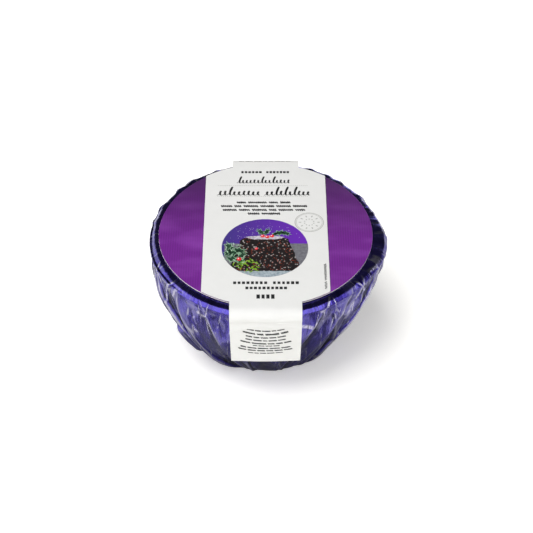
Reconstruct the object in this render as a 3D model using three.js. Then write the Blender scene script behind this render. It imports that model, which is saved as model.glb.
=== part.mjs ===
// A christmas pudding in its pack: a basin wrapped in coloured metallised film, closed by a round
// card on top, with a paper band laid across the card and down both sides.
// Millimetres, +Z up. The origin is the middle of the flat base that the pack stands on.
// The band runs along Y, and -Y is the front.

import * as THREE from 'three';

// ---- Driving dimensions -------------------------------------------------------------------

const PACK = {
  height: 71.5, // base to the band's upper face
  lipRadius: 62.6, // film over the basin's rolled lip
  baseRadius: 34.6, // flat circle that the pack stands on
  gap: 0.3, // clearance between separate pieces
};

const CARD = { radius: 57.5, thickness: 0.6 };

const BAND = {
  thickness: 0.4,
  panelHalfWidth: 33.3, // the wide panel on the card
  strapHalfWidth: 18.6, // the straps down the front and the back
  endHeight: 29.6, // how far above the base the straps stop
  standOff: 0.9, // how far the straps keep from the lip and the wall
  bendRadius: 4.8, // at the lip
  wrap: 0.08, // share of the wall's curve that the stiff strap takes across its width
};

// The wall's outline: a blunt curve that leaves the base level and meets the lip nearly upright.
const WALL = {
  fullness: 1.72,
  bluntness: 1.23,
  sway: -1.5, // how far the wall's middle height stands off the lip's middle line, along X
  reliefFrom: 0.22, // share of the wall's height in which the folds grow out of the flat base
};

const LIP = {
  shoulder: 1.6, // radius of the rolled edge
  drop: 2, // how far the rolled edge lies below the band's upper face
  height: 5.7, // from the rolled edge to the tuck under the lip
  belly: 0.55, // share of that height over which the film still hangs straight down
  tuck: 0.9, // how far the film steps in under the lip
  turn: 0.42 * Math.PI, // how far the rolled edge turns in before the film lies down to the card
  seatInset: 1.5, // how far the film's top runs in under the card
  seatSlope: 1.3, // the film is up at the card's level before it reaches the card's edge
};

// Film pleats: the spare film of a flat sheet drawn up round a bowl lies over in long leaning folds.
const PLEATS = {
  count: 28,
  stray: 0.3, // share of a pleat's width by which its start wanders
  lowest: 0.35, // height of the lowest fold as a share of the tallest
  crest: 1.4, // tallest fold on the wall
  lean: 0.2, // radians that a fold drifts round between the base and the lip
  crestAt: 0.42, // place of the crest in its own pleat, 0 to 1
  heelAt: 0.62, // place where the fold's short side lands
  heel: 0.15, // what is left of the fold's height there
  underLip: 0.6, // share of the relief left just under the lip
  onLip: 0.3, // share left where the film is drawn tight over the lip
  underStrap: 0.3, // share left where a strap presses the folds flat
  pressedFor: 0.4, // how far beside a strap they stay pressed, as a share of its half-width
};

// The film is slack on one side, so the lip is a little wider there.
const SLACK = { angle: -0.12, halfWidth: 0.6, depth: 2.8 };

// Rings of points in each stretch of the outline; the wall's lie closer together near the base.
const RINGS = { wall: 14, crowding: 1.7, shoulder: 4, seat: 2 };

// Stations along the band's bend over the lip and along its fall, and strips across its width.
const BAND_STEPS = { bend: 6, fall: 7, across: 8 };

const SEAT_HEIGHT = PACK.height - BAND.thickness - CARD.thickness - 2 * PACK.gap;

// ---- Helpers ------------------------------------------------------------------------------

const fraction = (x) => x - Math.floor(x);

// A fixed pseudo-random number from 0 to 1 for pleat i.
const chance = (i, salt) => fraction(Math.sin(i * 12.9898 + salt * 78.233) * 43758.5453);

const smooth = (x) => {
  const t = Math.min(1, Math.max(0, x));
  return t * t * (3 - 2 * t);
};

const mix = (a, b, t) => a + (b - a) * t;

// A closed surface from rows of points, the first and last row each closed by a middle point.
function closedFromRings(rings, lowMiddle, highMiddle) {
  const columns = rings[0].length;
  const points = [lowMiddle, ...rings.flat(), highMiddle];
  const at = (row, column) => 1 + row * columns + (column % columns);
  const faces = [];
  for (let c = 0; c < columns; c++) {
    faces.push(0, at(0, c + 1), at(0, c));
    faces.push(points.length - 1, at(rings.length - 1, c), at(rings.length - 1, c + 1));
  }
  for (let r = 0; r + 1 < rings.length; r++) {
    for (let c = 0; c < columns; c++) {
      faces.push(at(r, c), at(r, c + 1), at(r + 1, c + 1));
      faces.push(at(r, c), at(r + 1, c + 1), at(r + 1, c));
    }
  }
  return geometryFrom(points, faces);
}

function geometryFrom(points, faces) {
  const geometry = new THREE.BufferGeometry();
  geometry.setAttribute('position', new THREE.Float32BufferAttribute(points.flat(), 3));
  geometry.setIndex(faces);
  geometry.computeVertexNormals();
  return geometry;
}

// ---- The wrapped basin --------------------------------------------------------------------

const LIP_TOP = PACK.height - LIP.drop;
const WALL_TOP = LIP_TOP - LIP.shoulder - LIP.height;

// Radius of the bare wall at a height over the base.
function wallRadius(z) {
  const down = 1 - Math.min(1, Math.max(0, z / WALL_TOP));
  const share = (1 - down ** WALL.fullness) ** (1 / WALL.bluntness);
  return mix(PACK.baseRadius, PACK.lipRadius - LIP.tuck, share);
}

// The outline from the base's edge to the card's seat: radius, height and share of the relief.
function outline() {
  const stations = [];
  for (let i = 0; i <= RINGS.wall; i++) {
    const z = WALL_TOP * (i / RINGS.wall) ** RINGS.crowding;
    stations.push({ radius: wallRadius(z), z, relief: smooth(z / (WALL.reliefFrom * WALL_TOP)) });
  }
  const rolled = PACK.lipRadius - LIP.shoulder;
  const shoulderZ = LIP_TOP - LIP.shoulder;
  const bellyZ = shoulderZ - LIP.height * LIP.belly;
  stations.push({ radius: PACK.lipRadius, z: bellyZ, relief: PLEATS.underLip });
  for (let i = 0; i <= RINGS.shoulder; i++) {
    const turn = (i / RINGS.shoulder) * LIP.turn;
    stations.push({
      radius: rolled + LIP.shoulder * Math.cos(turn),
      z: shoulderZ + LIP.shoulder * Math.sin(turn),
      relief: PLEATS.onLip,
    });
  }
  const last = stations[stations.length - 1];
  for (let i = 1; i <= RINGS.seat; i++) {
    const t = i / RINGS.seat;
    stations.push({
      radius: mix(last.radius, CARD.radius - LIP.seatInset, t),
      z: mix(last.z, SEAT_HEIGHT, Math.min(1, t * LIP.seatSlope)),
      relief: PLEATS.onLip * (1 - t),
    });
  }
  return stations;
}

// The fold lines as seen from above: each pleat has a foot, a crest and a heel.
function foldLines() {
  const lines = [];
  const pitch = (2 * Math.PI) / PLEATS.count;
  for (let i = 0; i < PLEATS.count; i++) {
    const start = pitch * (i + PLEATS.stray * (chance(i, 1) - 0.5));
    const height = PLEATS.crest * mix(PLEATS.lowest, 1, chance(i, 2));
    const lean = PLEATS.lean * (chance(i, 3) - 0.5);
    lines.push({ angle: start, height: 0, lean });
    lines.push({ angle: start + pitch * PLEATS.crestAt, height, lean });
    lines.push({ angle: start + pitch * PLEATS.heelAt, height: height * PLEATS.heel, lean });
  }
  return lines;
}

function slackAt(angle) {
  const away = Math.atan2(Math.sin(angle - SLACK.angle), Math.cos(angle - SLACK.angle));
  return SLACK.depth * smooth(1 - Math.abs(away) / SLACK.halfWidth);
}

// Share of a pleat's height that is left beside and under the straps.
function pressed(x) {
  const clear = (Math.abs(x) - BAND.strapHalfWidth) / BAND.strapHalfWidth;
  return mix(PLEATS.underStrap, 1, smooth(clear / PLEATS.pressedFor));
}

function wrappedBasin() {
  const lines = foldLines();
  const rings = outline().map(({ radius, z, relief }) => {
    const rise = z / PACK.height;
    const sway = WALL.sway * Math.sin(Math.PI * Math.min(1, z / WALL_TOP));
    return lines.map(({ angle, height, lean }) => {
      const a = angle + lean * (rise - 0.5);
      const fold = relief * height * pressed(radius * Math.cos(a));
      const r = radius + fold + smooth(rise) * slackAt(a) * Math.min(1, relief / PLEATS.onLip);
      return [sway + r * Math.cos(a), r * Math.sin(a), z];
    });
  });
  return closedFromRings(rings, [0, 0, 0], [0, 0, SEAT_HEIGHT]);
}

// ---- The round card -----------------------------------------------------------------------

function roundCard() {
  const geometry = new THREE.CylinderGeometry(CARD.radius, CARD.radius, CARD.thickness, 96);
  geometry.rotateX(Math.PI / 2);
  geometry.translate(0, 0, SEAT_HEIGHT + PACK.gap + CARD.thickness / 2);
  return geometry;
}

// ---- The paper band -----------------------------------------------------------------------

// The band's middle line from the card's middle to one strap's end, seen from the side: distance
// from the middle, height, half-width, and how much the strap wraps round the wall.
function bandPath() {
  const top = PACK.height - BAND.thickness;
  const panelEnd = Math.sqrt(CARD.radius ** 2 - BAND.panelHalfWidth ** 2);
  const strapStart = Math.sqrt(CARD.radius ** 2 - BAND.strapHalfWidth ** 2);
  const path = [0, 0.5].map((t) => ({
    out: panelEnd * t,
    z: top,
    halfWidth: BAND.panelHalfWidth,
    wrap: 0,
  }));
  // The panel is cut round with the card until it is as narrow as the strap.
  for (const t of [0, 0.25, 0.5, 0.75, 1]) {
    const out = mix(panelEnd, strapStart, t);
    path.push({ out, z: top, halfWidth: Math.sqrt(CARD.radius ** 2 - out ** 2), wrap: 0 });
  }
  const outermost = PACK.lipRadius + BAND.standOff;
  const middle = outermost - BAND.bendRadius;
  for (let i = 0; i <= BAND_STEPS.bend; i++) {
    const t = i / BAND_STEPS.bend;
    const turn = t * Math.PI * 0.5;
    path.push({
      out: middle + BAND.bendRadius * Math.sin(turn),
      z: top - BAND.bendRadius * (1 - Math.cos(turn)),
      halfWidth: BAND.strapHalfWidth,
      wrap: BAND.wrap * smooth(t) * 0.5,
    });
  }
  const bendFoot = top - BAND.bendRadius;
  const clearance = PLEATS.crest * PLEATS.underStrap + BAND.standOff;
  for (let i = 1; i <= BAND_STEPS.fall; i++) {
    const t = i / BAND_STEPS.fall;
    const z = mix(bendFoot, BAND.endHeight, t);
    path.push({
      out: Math.min(outermost, wallRadius(z) + clearance),
      z,
      halfWidth: BAND.strapHalfWidth,
      wrap: BAND.wrap * mix(0.5, 1, t),
    });
  }
  return path;
}

// How far a strap falls back at a distance across from its middle line, as it wraps the wall.
const fallBack = (across, out) => out - Math.sqrt(Math.max(0, out ** 2 - across ** 2));

function paperBand() {
  const half = bandPath();
  const stations = [
    ...half.slice(1).reverse().map((p) => ({ ...p, side: 1 })),
    ...half.map((p) => ({ ...p, side: -1 })),
  ];
  const { across } = BAND_STEPS;
  const points = [];
  const faces = [];
  const grid = stations.map((p, i) => {
    const next = stations[Math.min(stations.length - 1, i + 1)];
    const before = stations[Math.max(0, i - 1)];
    // The band's upper side is to the left of its run from the back strap to the front one.
    const run = new THREE.Vector2(next.side * next.out - before.side * before.out, next.z - before.z);
    const up = new THREE.Vector2(-run.y, run.x).normalize().multiplyScalar(-BAND.thickness);
    return Array.from({ length: across + 1 }, (_, j) => {
      const x = mix(-1, 1, j / across) * p.halfWidth;
      const y = p.side * (p.out - p.wrap * fallBack(x, p.out));
      points.push([x, y, p.z], [x, y + up.x, p.z + up.y]);
      return points.length - 2;
    });
  });
  const quad = (a, b, c, d) => faces.push(a, b, c, a, c, d);
  for (let i = 0; i + 1 < grid.length; i++) {
    for (let j = 0; j < across; j++) {
      const [a, b, c, d] = [grid[i][j], grid[i + 1][j], grid[i + 1][j + 1], grid[i][j + 1]];
      quad(a, d, c, b);
      quad(a + 1, b + 1, c + 1, d + 1);
    }
    const [p, q] = [grid[i][0], grid[i + 1][0]];
    const [r, s] = [grid[i][across], grid[i + 1][across]];
    quad(p, q, q + 1, p + 1);
    quad(r, r + 1, s + 1, s);
  }
  for (let j = 0; j < across; j++) {
    const [p, q] = [grid[0][j], grid[0][j + 1]];
    const [r, s] = [grid[grid.length - 1][j], grid[grid.length - 1][j + 1]];
    quad(p, p + 1, q + 1, q);
    quad(r, s, s + 1, r + 1);
  }
  return geometryFrom(points, faces);
}

// ---- The pack -----------------------------------------------------------------------------

const MATERIALS = {
  film: new THREE.MeshStandardMaterial({ color: 0x4a3c9a, metalness: 0.9, roughness: 0.25 }),
  card: new THREE.MeshStandardMaterial({ color: 0x76319a, metalness: 0, roughness: 0.5 }),
  paper: new THREE.MeshStandardMaterial({ color: 0xf2f2f2, metalness: 0, roughness: 0.6 }),
};

function piece(name, geometry, material) {
  const mesh = new THREE.Mesh(geometry, material);
  mesh.name = name;
  return mesh;
}

const pack = new THREE.Group();
pack.add(piece('film_wrapped_basin', wrappedBasin(), MATERIALS.film));
pack.add(piece('round_card', roundCard(), MATERIALS.card));
pack.add(piece('paper_band', paperBand(), MATERIALS.paper));

export default pack;
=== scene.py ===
"""A christmas pudding in its pack: a basin wrapped in violet metallised film, closed by a round card,
with a printed paper band laid across the card and down the front and the back.

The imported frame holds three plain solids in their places. This script models the same three pieces
as they are made, prints the band with plain shapes, and lights them on a pale studio floor.
Lengths are in millimetres and turn into metres where a mesh is written.
"""

import logging
import math
from dataclasses import dataclass, field
from enum import Enum
from typing import Any, Callable, Sequence

import bpy
import numpy as np
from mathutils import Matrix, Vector
from mathutils.bvhtree import BVHTree
from mathutils.geometry import delaunay_2d_cdt


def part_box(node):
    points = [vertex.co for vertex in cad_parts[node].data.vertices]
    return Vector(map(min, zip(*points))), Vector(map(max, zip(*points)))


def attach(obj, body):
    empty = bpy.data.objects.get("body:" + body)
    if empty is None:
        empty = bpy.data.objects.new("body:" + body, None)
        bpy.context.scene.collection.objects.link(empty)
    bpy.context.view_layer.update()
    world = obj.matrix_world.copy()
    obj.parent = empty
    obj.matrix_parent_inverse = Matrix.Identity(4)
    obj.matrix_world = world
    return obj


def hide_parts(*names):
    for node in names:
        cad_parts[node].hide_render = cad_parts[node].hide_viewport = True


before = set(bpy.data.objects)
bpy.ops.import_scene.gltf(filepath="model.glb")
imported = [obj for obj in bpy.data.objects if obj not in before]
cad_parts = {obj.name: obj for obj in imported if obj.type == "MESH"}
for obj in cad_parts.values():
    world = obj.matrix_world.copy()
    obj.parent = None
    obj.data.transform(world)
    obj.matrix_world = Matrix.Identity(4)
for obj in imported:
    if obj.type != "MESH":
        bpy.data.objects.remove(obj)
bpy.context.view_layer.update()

LOG = logging.getLogger("pudding")
MM = 0.001
TURN = 2 * math.pi
BODY = "root"


# ---- Small helpers ------------------------------------------------------------------------------


def smooth(share: np.ndarray | float) -> np.ndarray:
    """Smooth step of a share, held between 0 and 1."""
    held = np.clip(share, 0, 1)
    return held * held * (3 - 2 * held)


def mix(start: Any, end: Any, share: Any) -> Any:
    """The value at a share of the way from start to end."""
    return start + (end - start) * share


def top_of(node_name: str) -> float:
    """Height of a CAD node's top, in millimetres."""
    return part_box(node_name)[1].z / MM


def deselect() -> None:
    """Leaves nothing selected, so that the next operator acts on its own piece only."""
    if bpy.context.object and bpy.context.object.mode != "OBJECT":
        bpy.ops.object.mode_set(mode="OBJECT")
    bpy.ops.object.select_all(action="DESELECT")


def primitive(add: Callable[..., Any], name: str, **settings: Any) -> bpy.types.Object:
    """Adds a primitive with nothing else selected.

    Args:
        add: The operator that adds it.
        name: Name of the new piece.
        settings: The operator's own settings.

    Returns:
        The new piece, active and selected.
    """
    deselect()
    add(**settings)
    piece = bpy.context.object
    piece.name = piece.data.name = name
    return piece


def finish_with(piece: bpy.types.Object, kind: str, **settings: Any) -> None:
    """Adds a modifier to a piece and applies it.

    Args:
        piece: The piece to finish.
        kind: The modifier's type.
        settings: The modifier's own settings.
    """
    deselect()
    piece.select_set(True)
    bpy.context.view_layer.objects.active = piece
    modifier = piece.modifiers.new(kind.title(), kind)
    for key, value in settings.items():
        setattr(modifier, key, value)
    bpy.ops.object.modifier_apply(modifier=modifier.name)


def join(pieces: Sequence[bpy.types.Object], name: str) -> bpy.types.Object:
    """Joins pieces into one mesh.

    Args:
        pieces: The pieces, the first of which takes in the rest.
        name: Name of the joined piece.

    Returns:
        The joined piece.
    """
    deselect()
    for piece in pieces:
        piece.select_set(True)
    bpy.context.view_layer.objects.active = pieces[0]
    bpy.ops.object.join()
    pieces[0].name = pieces[0].data.name = name
    return pieces[0]


def settle(piece: bpy.types.Object) -> None:
    """Puts a piece's place into its mesh, so that its object sits unturned at the origin."""
    deselect()
    piece.select_set(True)
    bpy.context.view_layer.objects.active = piece
    bpy.ops.object.transform_apply(location=True, rotation=True, scale=True)


def read_points(piece: bpy.types.Object) -> np.ndarray:
    """The mesh's points as an array of rows, in millimetres."""
    flat = np.empty(len(piece.data.vertices) * 3)
    piece.data.vertices.foreach_get("co", flat)
    return flat.reshape(-1, 3) / MM


def write_points(piece: bpy.types.Object, points: np.ndarray) -> None:
    """Moves the mesh's points to rows given in millimetres."""
    piece.data.vertices.foreach_set("co", (points * MM).ravel())
    piece.data.update()


def write_attribute(piece: bpy.types.Object, name: str, values: np.ndarray) -> None:
    """Stores a number, or a row of three, for each point of the mesh, for its material to read."""
    if values.ndim == 2:
        attribute = piece.data.attributes.new(name, "FLOAT_VECTOR", "POINT")
        attribute.data.foreach_set("vector", values.astype(np.float32).ravel())
    else:
        attribute = piece.data.attributes.new(name, "FLOAT", "POINT")
        attribute.data.foreach_set("value", values.astype(np.float32))


def hand_in(piece: bpy.types.Object, slot: str, *stands_for: str) -> None:
    """Ties a finished piece to the frame and reports it.

    Args:
        piece: The piece, in its place.
        slot: A name for its finish, which is only written to the log.
        stands_for: The CAD nodes that it stands for, if any.
    """
    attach(piece, BODY)
    if stands_for:
        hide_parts(*stands_for)
    LOG.info("%s: %d faces, finish %s", piece.name, len(piece.data.polygons), slot)


# ---- Finishes -----------------------------------------------------------------------------------


def linear(hex_colour: str) -> tuple[float, float, float, float]:
    """Turns an sRGB hex colour into the linear colour that the shaders work in."""
    channels = [int(hex_colour[i : i + 2], 16) / 255 for i in (0, 2, 4)]
    return (*(c / 12.92 if c <= 0.04045 else ((c + 0.055) / 1.055) ** 2.4 for c in channels), 1.0)


def add_node(
    tree: bpy.types.NodeTree, kind: str, inputs: dict[Any, Any] | None = None, **settings: Any
) -> bpy.types.Node:
    """Adds a node with its settings and links.

    Args:
        tree: The node tree.
        kind: The node's type.
        inputs: Values, or sockets to link from, by the input's name or number.
        settings: The node's own properties.

    Returns:
        The new node.
    """
    made = tree.nodes.new(kind)
    for key, value in settings.items():
        setattr(made, key, value)
    for key, value in (inputs or {}).items():
        if isinstance(value, bpy.types.NodeSocket):
            tree.links.new(value, made.inputs[key])
        else:
            made.inputs[key].default_value = value
    return made


@dataclass(frozen=True)
class Finish:
    """A finish, named for the real material."""

    name: str

    def begin(self, **shader: Any) -> tuple[bpy.types.Material, bpy.types.NodeTree, bpy.types.Node]:
        """Starts the material with a shader and its uniform values.

        Args:
            shader: Values for the shader's sockets, with _ for a blank in a socket's name.

        Returns:
            The material, its node tree and its shader node.
        """
        material = bpy.data.materials.new(self.name)
        material.use_nodes = True
        tree = material.node_tree
        tree.nodes.clear()
        named = {key.replace("_", " "): value for key, value in shader.items()}
        body = add_node(tree, "ShaderNodeBsdfPrincipled", named)
        add_node(tree, "ShaderNodeOutputMaterial", {"Surface": body.outputs[0]})
        return material, tree, body


@dataclass(frozen=True)
class MetallisedFilm(Finish):
    """Violet lacquered polypropylene film with a vapour of aluminium on its back.

    It shines like tinted metal under a clear skin. Its colour carries painted light: swelling panels get a
    painted grey reflection in streaks up the wall, slack ones painted dark indigo shade, crease hollows
    painted near-black shade, tucks a painted deep violet for light met twice, and each crease a pale line
    that is partly the metal cracked there and partly a painted highlight.
    """

    face: str = "44399a"
    # Besides the face, these tones are painted light: a grey reflection, shade on slack panels, shade in crease hollows
    # and a deep violet for light met twice in the tucks. The crease tone is partly a painted highlight.
    painted_sheen: str = "837fa8"
    shade: str = "20165c"
    tuck: str = "23108c"
    gap: str = "0c081f"
    crease: str = "cbc8da"
    streak: float = 10.0  # width of a streak of painted reflection, in mm
    panel: float = 8.5  # width of the flat panels between the film's sharp creases, in mm
    crinkle: float = 3.2  # the small dents left by handling, across, in mm
    wrinkle: float = 1.7  # width of the finest wrinkles, drawn no finer than this so that they show

    def build(self) -> bpy.types.Material:
        """Makes the material."""
        material, tree, body = self.begin(Metallic=1.0, Coat_Weight=0.5, Coat_Roughness=0.08, Coat_IOR=1.5)
        place = add_node(tree, "ShaderNodeTexCoord").outputs["Object"]
        crest, swell, flow = (add_node(tree, "ShaderNodeAttribute", attribute_name=n) for n in ("crest", "swell", "flow"))

        def share(source: bpy.types.NodeSocket, low: float, high: float, most: float) -> bpy.types.NodeSocket:
            """How far the source has come from low to high, up to most."""
            limits = {0: source, 1: low, 2: high, 3: 0.0, 4: most}
            return add_node(tree, "ShaderNodeMapRange", limits, clamp=True).outputs[0]

        def blend(amount: bpy.types.NodeSocket, under: Any, over: str) -> bpy.types.NodeSocket:
            """Lays a tone over another by an amount."""
            return add_node(
                tree, "ShaderNodeMix", {0: amount, 6: under, 7: linear(over)}, data_type="RGBA"
            ).outputs[2]

        def noise(vector: bpy.types.NodeSocket, size: float, detail: float) -> bpy.types.NodeSocket:
            """A noise with features of a size in mm."""
            settings = {"Vector": vector, "Scale": 1 / (size * MM), "Detail": detail, "Roughness": 0.62}
            return add_node(tree, "ShaderNodeTexNoise", settings).outputs["Fac"]

        # Painted reflection and shade: a grey tone goes where the relief swells and along the streaks, and a dark
        # indigo shade where it sinks.
        streaks = noise(flow.outputs["Vector"], self.streak, 4.0)
        tone = add_node(
            tree, "ShaderNodeMath", {0: swell.outputs["Fac"], 1: 0.17, 2: streaks}, operation="MULTIPLY_ADD"
        ).outputs[0]
        patches = noise(place, 13.0, 3.0)
        # Painted shade: near-black goes in the hollows of the creases. In patches of them a deep violet is painted for
        # light met twice in a tuck.
        hollow = share(crest.outputs["Fac"], -0.15, -0.6, 0.95)
        violet = add_node(
            tree, "ShaderNodeMath", {0: hollow, 1: share(patches, 0.47, 0.56, 1.0)}, operation="MULTIPLY"
        ).outputs[0]
        colour = blend(share(tone, 0.54, 0.76, 0.7), linear(self.face), self.painted_sheen)
        colour = blend(share(tone, 0.5, 0.34, 0.9), colour, self.shade)
        colour = blend(hollow, colour, self.gap)
        colour = blend(violet, colour, self.tuck)
        # The pale line along each crest stands partly for the metal cracked there and partly for a painted highlight.
        colour = blend(share(crest.outputs["Fac"], 0.25, 0.8, 0.75), colour, self.crease)
        # The same pale line goes in patches along the panels' edges: partly cracked metal, partly a painted highlight.
        edge = add_node(
            tree,
            "ShaderNodeTexVoronoi",
            {"Vector": flow.outputs["Vector"], "Scale": 1 / (self.panel * MM), "Randomness": 1.0},
            feature="DISTANCE_TO_EDGE",
        ).outputs["Distance"]
        pale_line_patches = noise(place, 9.0, 2.0)
        cracks_and_highlight = add_node(
            tree, "ShaderNodeMath", {0: share(edge, 0.034, 0.012, 1.0), 1: share(pale_line_patches, 0.47, 0.6, 0.65)},
            operation="MULTIPLY",
        ).outputs[0]
        colour = blend(cracks_and_highlight, colour, self.crease)
        gloss = add_node(
            tree, "ShaderNodeMapRange", {0: tone, 1: 0.35, 2: 0.7, 3: 0.14, 4: 0.36}, clamp=True
        ).outputs[0]
        dents = add_node(
            tree,
            "ShaderNodeTexNoise",
            {"Vector": place, "Scale": 1 / (self.crinkle * MM), "Detail": 2.0, "Roughness": 0.5},
            noise_type="RIDGED_MULTIFRACTAL",
        ).outputs["Fac"]
        wrinkles = noise(flow.outputs["Vector"], self.wrinkle, 3.0)
        coarse = add_node(
            tree, "ShaderNodeBump", {"Height": dents, "Distance": 0.1 * MM, "Strength": 0.2}
        ).outputs[0]
        panels = add_node(
            tree, "ShaderNodeBump", {"Height": edge, "Distance": 1.0 * MM, "Strength": 0.7, "Normal": coarse}
        ).outputs[0]
        fine = add_node(
            tree, "ShaderNodeBump", {"Height": wrinkles, "Distance": 0.5 * MM, "Strength": 0.45, "Normal": panels}
        ).outputs[0]
        for socket, source in (("Base Color", colour), ("Roughness", gloss), ("Normal", fine)):
            tree.links.new(source, body.inputs[socket])
        return material


@dataclass(frozen=True)
class CoatedBoard(Finish):
    """Solid bleached board, printed violet and varnished, with a laid texture of fine ribs.

    The varnish's satin sheen is painted into the colour as broad soft paler streaks, a painted highlight,
    and its roughness follows them; the ribs show as faint lines front to back. The colour darkens to the back edge:
    painted shade.
    """

    ink: str = "6e2387"
    rib_ink: str = "61207a"
    painted_sheen_ink: str = "8a41a6"
    painted_back_shade: str = "3d1c4c"
    rib_pitch: float = 1.3  # the real ribs are finer; drawn this coarse so that they show

    def build(self) -> bpy.types.Material:
        """Makes the material."""
        material, tree, body = self.begin(IOR=1.5, Coat_Weight=0.25, Coat_Roughness=0.3)
        place = add_node(tree, "ShaderNodeTexCoord").outputs["Object"]
        # A wave texture repeats every TURN / 20 of its scale.
        ribs = add_node(
            tree,
            "ShaderNodeTexWave",
            {"Vector": place, "Scale": TURN / (20 * self.rib_pitch * MM), "Distortion": 0.0},
            bands_direction="X",
        ).outputs["Fac"]
        streaks = add_node(
            tree,
            "ShaderNodeMapping",
            {"Vector": place, "Rotation": (0.0, 0.0, math.radians(38)), "Scale": (1.0, 3.0, 1.0)},
        ).outputs[0]
        clouds = add_node(
            tree, "ShaderNodeTexNoise", {"Vector": streaks, "Scale": 1 / (34 * MM), "Detail": 5.0}
        ).outputs["Fac"]
        printed = add_node(
            tree,
            "ShaderNodeMix",
            {0: ribs, 6: linear(self.rib_ink), 7: linear(self.ink)},
            data_type="RGBA",
        ).outputs[2]
        # Painted highlight: broad soft paler streaks are laid over the print as the varnish's sheen, and the roughness
        # follows the same streaks.
        painted_sheen = add_node(
            tree, "ShaderNodeMapRange", {0: clouds, 1: 0.45, 2: 0.7, 3: 0.0, 4: 0.5}, clamp=True
        ).outputs[0]
        printed = add_node(
            tree, "ShaderNodeMix", {0: painted_sheen, 6: printed, 7: linear(self.painted_sheen_ink)}, data_type="RGBA"
        ).outputs[2]
        # Painted shade: the colour darkens from just in front of the middle to the back edge.
        along = add_node(tree, "ShaderNodeSeparateXYZ", {0: place}).outputs["Y"]
        backness = add_node(
            tree, "ShaderNodeMapRange", {0: along, 1: -5 * MM, 2: 50 * MM, 3: 0.0, 4: 1.0}, clamp=True
        ).outputs[0]
        with_back_shade = add_node(
            tree, "ShaderNodeMix", {0: backness, 6: printed, 7: linear(self.painted_back_shade)}, data_type="RGBA"
        ).outputs[2]
        gloss = add_node(
            tree, "ShaderNodeMapRange", {0: clouds, 1: 0.35, 2: 0.65, 3: 0.3, 4: 0.5}, clamp=True
        ).outputs[0]
        relief = add_node(
            tree, "ShaderNodeBump", {"Height": ribs, "Distance": 0.03 * MM, "Strength": 0.5}
        ).outputs[0]
        for socket, source in (("Base Color", with_back_shade), ("Roughness", gloss), ("Normal", relief)):
            tree.links.new(source, body.inputs[socket])
        return material


@dataclass(frozen=True)
class Pulp(Finish):
    """Bleached wood pulp, as label paper or as the bare cut edge of board.

    It is a near-white matte surface with a barely clouded look-through and a tooth of short fibres.
    """

    light: str = "d9d9d7"
    dark: str = "d2d2d0"
    fibre: float = 0.6  # real fibres are finer; drawn this coarse so that they show
    gloss: float = 0.65

    def build(self) -> bpy.types.Material:
        """Makes the material."""
        material, tree, body = self.begin(Roughness=self.gloss, IOR=1.35)
        place = add_node(tree, "ShaderNodeTexCoord").outputs["Object"]
        clouds = add_node(
            tree, "ShaderNodeTexNoise", {"Vector": place, "Scale": 1 / (9 * MM), "Detail": 4.0, "Roughness": 0.6}
        ).outputs["Fac"]
        fibres = add_node(
            tree, "ShaderNodeTexNoise", {"Vector": place, "Scale": 1 / (self.fibre * MM), "Detail": 2.0}
        ).outputs["Fac"]
        colour = add_node(
            tree,
            "ShaderNodeMix",
            {0: clouds, 6: linear(self.dark), 7: linear(self.light)},
            data_type="RGBA",
        ).outputs[2]
        tooth = add_node(
            tree, "ShaderNodeBump", {"Height": fibres, "Distance": 0.02 * MM, "Strength": 0.4}
        ).outputs[0]
        tree.links.new(colour, body.inputs["Base Color"])
        tree.links.new(tooth, body.inputs["Normal"])
        return material


class Ink(Enum):
    """The printing inks, as sRGB hex colours: the body of the ink and its thin places."""

    BLACK = ("19191b", "2a2a2c")
    GREY = ("9c9c98", "adada9")
    TABLE = ("5f5f66", "76767c")
    PLATE = ("7d8b93", "a9b4ba")
    ICING = ("c9c4cc", "8e8893")
    BERRY = ("c8141f", "e8434a")
    GLINT = ("f4f2f5", "d8d6dc")
    HOLLY = ("12291d", "2d5038")
    HOLLY_EDGE = ("6d9a78", "b2d0b4")
    SPRIG = ("5c9a26", "a9c93c")


@dataclass(frozen=True)
class OffsetInk(Finish):
    """Offset ink on label paper: flat colour that lies a little unevenly and shines slightly."""

    ink: Ink = Ink.BLACK
    mottle: float = 1.4  # size of the uneven patches, in mm

    def build(self) -> bpy.types.Material:
        """Makes the material."""
        material, tree, body = self.begin(Roughness=0.45, IOR=1.5)
        place = add_node(tree, "ShaderNodeTexCoord").outputs["Object"]
        patches = add_node(
            tree, "ShaderNodeTexNoise", {"Vector": place, "Scale": 1 / (self.mottle * MM), "Detail": 3.0}
        ).outputs["Fac"]
        spread = add_node(tree, "ShaderNodeMapRange", {0: patches, 1: 0.35, 2: 0.7}, clamp=True).outputs[0]
        full, thin = self.ink.value
        colour = add_node(
            tree, "ShaderNodeMix", {0: spread, 6: linear(full), 7: linear(thin)}, data_type="RGBA"
        ).outputs[2]
        tree.links.new(colour, body.inputs["Base Color"])
        return material


@dataclass(frozen=True)
class PrintedSky(Finish):
    """Offset print of an evening sky, blue-violet on the left and violet on the right."""

    left: str = "3b2f78"
    right: str = "6422a8"
    half_width: float = 23.0

    def build(self) -> bpy.types.Material:
        """Makes the material."""
        material, tree, body = self.begin(Roughness=0.45, IOR=1.5)
        place = add_node(tree, "ShaderNodeTexCoord").outputs["Object"]
        across = add_node(tree, "ShaderNodeSeparateXYZ", {0: place}).outputs["X"]
        reach = self.half_width * MM
        share = add_node(tree, "ShaderNodeMapRange", {0: across, 1: -reach, 2: reach}, clamp=True).outputs[0]
        colour = add_node(
            tree, "ShaderNodeMix", {0: share, 6: linear(self.left), 7: linear(self.right)}, data_type="RGBA"
        ).outputs[2]
        tree.links.new(colour, body.inputs["Base Color"])
        return material


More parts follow.
